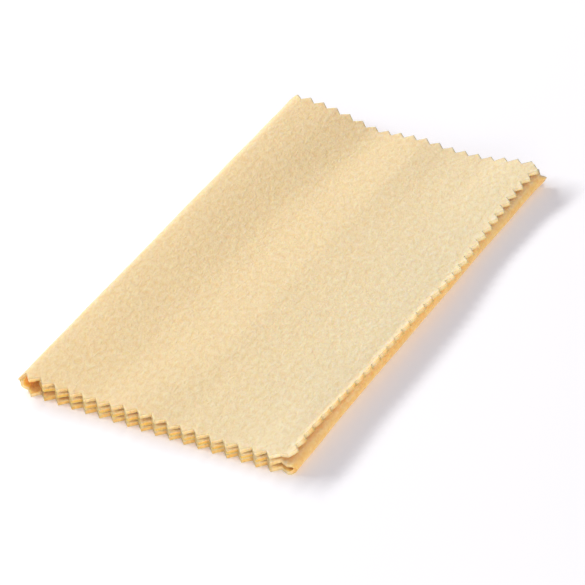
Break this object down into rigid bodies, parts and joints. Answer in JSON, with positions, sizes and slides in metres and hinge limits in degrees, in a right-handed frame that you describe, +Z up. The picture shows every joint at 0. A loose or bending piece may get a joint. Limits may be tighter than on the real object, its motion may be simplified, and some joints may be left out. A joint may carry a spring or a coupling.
{
  "type": "cleaning cloth",
  "caption": "Thick brushed cotton cleaning cloth with pinked zigzag edges, folded in thirds like a letter; the top panel opens at the soft left fold.",
  "frame": {"origin": "on the underside of the bottom panel, under the middle of the folded cloth", "axes": "+Z up, square to the surface that the cloth lies on; +Y along the folds, towards the back edge; +X across the folds, towards the tight right fold"},
  "size_m": [0.1152, 0.203, 0.0124],
  "materials": {
    "cotton_flannel": "brushed cotton, matt, with a short soft nap"
  },
  "bodies": {
    "lower_cloth": {"bottom_panel": "cotton_flannel", "right_fold": "cotton_flannel", "inner_panel": "cotton_flannel", "left_fold": "cotton_flannel"},
    "cover": {"top_panel": "cotton_flannel"}
  },
  "joints": [
    {"name": "top_panel_opening", "type": "hinge", "parent": "lower_cloth", "child": "cover", "pos_m": [-0.05688, 0, 0.00555], "axis": [0.003, -1, -0.0074], "range_deg": [0, 180], "deforming": ["left_fold"]}
  ]
}
